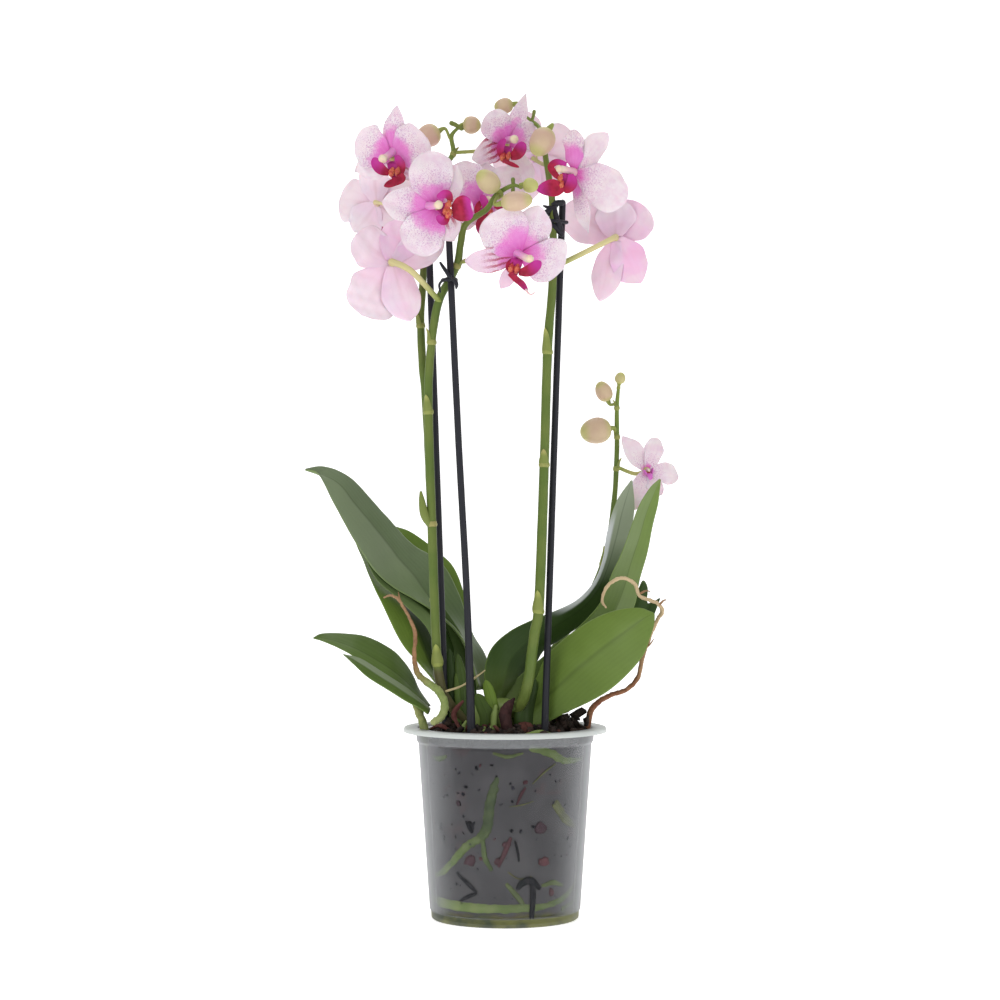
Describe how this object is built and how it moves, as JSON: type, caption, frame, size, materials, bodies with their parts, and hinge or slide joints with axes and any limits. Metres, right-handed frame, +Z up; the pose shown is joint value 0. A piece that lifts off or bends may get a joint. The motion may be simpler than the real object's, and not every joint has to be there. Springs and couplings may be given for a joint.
{
  "type": "potted orchid",
  "caption": "Moth orchid in a clear tapered pot of bark, with strap leaves, tall flower spikes tied to thin stakes, open pink flowers and buds.",
  "frame": {"origin": "centre of the pot's flat underside", "axes": "+Z up along the pot's axis; the plant shows its front towards -Y"},
  "size_m": [0.2248, 0.127, 0.4891],
  "materials": {
    "clear_plastic": "clear, slightly frosted",
    "bark": "rough",
    "leaf_dark": "satin",
    "leaf_bright": "satin",
    "stem_green": "satin",
    "root_green": "matte",
    "root_brown": "matte",
    "petal_pink": "soft, faintly translucent",
    "petal_pale": "soft, faintly translucent",
    "bud_tan": "satin",
    "stake_black": "satin",
    "husk_brown": "rough"
  },
  "bodies": {
    "root": {"bark_chip_left": "husk_brown", "bark_chip_red": "husk_brown", "bark_chip_right": "bark", "bark_substrate": "bark", "bud_front_long": "bud_tan", "bud_front_round": "bud_tan", "bud_front_small": "bud_tan", "bud_right_large": "bud_tan", "bud_top_left": "bud_tan", "bud_top_second": "bud_tan", "bud_top_third": "bud_tan", "bud_young_large": "bud_tan", "bud_young_tip": "bud_tan", "bud_young_upper": "bud_tan", "clip_left": "stake_black", "clip_right": "stake_black", "dead_husk": "husk_brown", "flower_behind": "petal_pale", "flower_far_left": "petal_pale", "flower_left_middle": "petal_pink", "flower_low_left": "petal_pale", "flower_low_middle": "petal_pink", "flower_middle": "petal_pink", "flower_right": "petal_pale", "flower_small": "petal_pale", "flower_top_left": "petal_pink", "flower_top_middle": "petal_pink", "flower_top_right": "petal_pink", "leaf_left_back": "leaf_bright", "leaf_left_inner": "leaf_dark", "leaf_left_long": "leaf_dark", "leaf_left_low": "leaf_bright", "leaf_left_strip": "leaf_dark", "leaf_right_broad": "leaf_bright", "leaf_right_curved": "leaf_dark", "leaf_right_low": "leaf_dark", "leaf_right_upright": "leaf_bright", "leaf_short_lower": "leaf_dark", "leaf_short_upper": "leaf_dark", "plant_crown": "stem_green", "pot": "clear_plastic", "pot_root_branch": "root_green", "pot_root_long": "root_green", "pot_root_rim": "root_green", "pot_root_ring": "root_green", "pot_root_short": "root_green", "pot_root_tan": "root_green", "root_curled": "root_brown", "root_forked": "root_green", "root_stub": "root_green", "root_thread": "root_green", "spike_back_left": "stem_green", "spike_front_left": "stem_green", "spike_right": "stem_green", "spike_young": "stem_green", "stake_left_back": "stake_black", "stake_left_front": "stake_black", "stake_right": "stake_black"}
  },
  "joints": []
}
